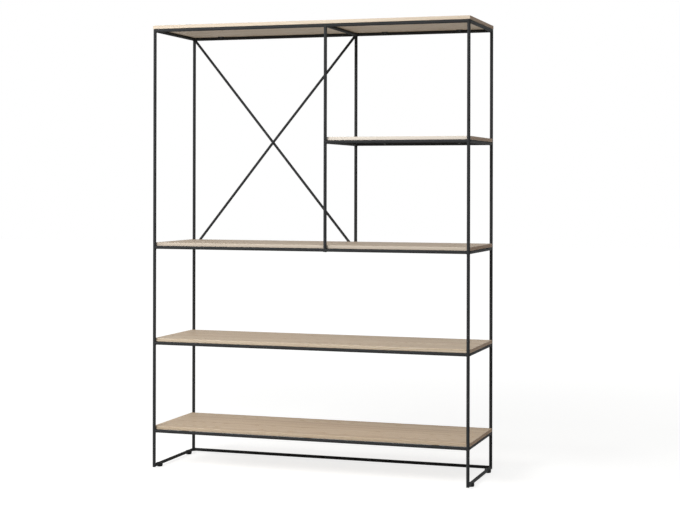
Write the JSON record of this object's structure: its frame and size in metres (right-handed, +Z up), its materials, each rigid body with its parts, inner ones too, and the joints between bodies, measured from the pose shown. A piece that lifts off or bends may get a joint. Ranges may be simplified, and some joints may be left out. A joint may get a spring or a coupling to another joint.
{
  "type": "shelving unit",
  "caption": "Tall open shelving unit of slim dark steel rods with oak boards, a cross-braced tall bay at upper left, a half-width board at upper right and levelling glides.",
  "frame": {"origin": "on the floor under the middle of the frame", "axes": "+Z up, +X to the right as seen from the front, +Y from the front to the rear"},
  "size_m": [1.232, 0.38, 1.664],
  "materials": {
    "frame_steel": "satin powder coat",
    "oak": "matt lacquered oak veneer",
    "plated_steel": "black zinc plated",
    "glide_plastic": "matt moulded"
  },
  "bodies": {
    "frame": {"base_rail_left": "frame_steel", "base_rail_rear": "frame_steel", "base_rail_right": "frame_steel", "bottom_board": "oak", "bottom_lugs": "frame_steel", "bottom_rail_front": "frame_steel", "bottom_rail_left": "frame_steel", "bottom_rail_rear": "frame_steel", "bottom_rail_right": "frame_steel", "bottom_screws": "plated_steel", "brace_bowed": "frame_steel", "brace_straight": "frame_steel", "glide_saddles": "glide_plastic", "half_board": "oak", "half_lugs": "frame_steel", "half_rail_front": "frame_steel", "half_rail_middle": "frame_steel", "half_rail_rear": "frame_steel", "half_rail_right": "frame_steel", "half_screws": "plated_steel", "lower_board": "oak", "lower_lugs": "frame_steel", "lower_rail_front": "frame_steel", "lower_rail_left": "frame_steel", "lower_rail_rear": "frame_steel", "lower_rail_right": "frame_steel", "lower_screws": "plated_steel", "middle_board": "oak", "middle_lugs": "frame_steel", "middle_rail_front_left": "frame_steel", "middle_rail_front_right": "frame_steel", "middle_rail_left": "frame_steel", "middle_rail_middle": "frame_steel", "middle_rail_rear_left": "frame_steel", "middle_rail_rear_right": "frame_steel", "middle_rail_right": "frame_steel", "middle_screws": "plated_steel", "post_front_left": "frame_steel", "post_front_middle": "frame_steel", "post_front_right": "frame_steel", "post_rear_left": "frame_steel", "post_rear_middle": "frame_steel", "post_rear_right": "frame_steel", "top_board": "oak", "top_lugs": "frame_steel", "top_rail_front": "frame_steel", "top_rail_left": "frame_steel", "top_rail_middle": "frame_steel", "top_rail_rear": "frame_steel", "top_rail_right": "frame_steel", "top_screws": "plated_steel"},
    "foot_front_left": {"glide_front_left": "glide_plastic", "stud_front_left": "plated_steel"},
    "foot_front_right": {"glide_front_right": "glide_plastic", "stud_front_right": "plated_steel"},
    "foot_rear_left": {"glide_rear_left": "glide_plastic", "stud_rear_left": "plated_steel"},
    "foot_rear_right": {"glide_rear_right": "glide_plastic", "stud_rear_right": "plated_steel"}
  },
  "joints": [
    {"name": "glide_front_left_screw", "type": "slide", "parent": "frame", "child": "foot_front_left", "axis": [0, 0, -1], "range_m": [0, 0.006]},
    {"name": "glide_front_right_screw", "type": "slide", "parent": "frame", "child": "foot_front_right", "axis": [0, 0, -1], "range_m": [0, 0.006]},
    {"name": "glide_rear_left_screw", "type": "slide", "parent": "frame", "child": "foot_rear_left", "axis": [0, 0, -1], "range_m": [0, 0.006]},
    {"name": "glide_rear_right_screw", "type": "slide", "parent": "frame", "child": "foot_rear_right", "axis": [0, 0, -1], "range_m": [0, 0.006]}
  ]
}
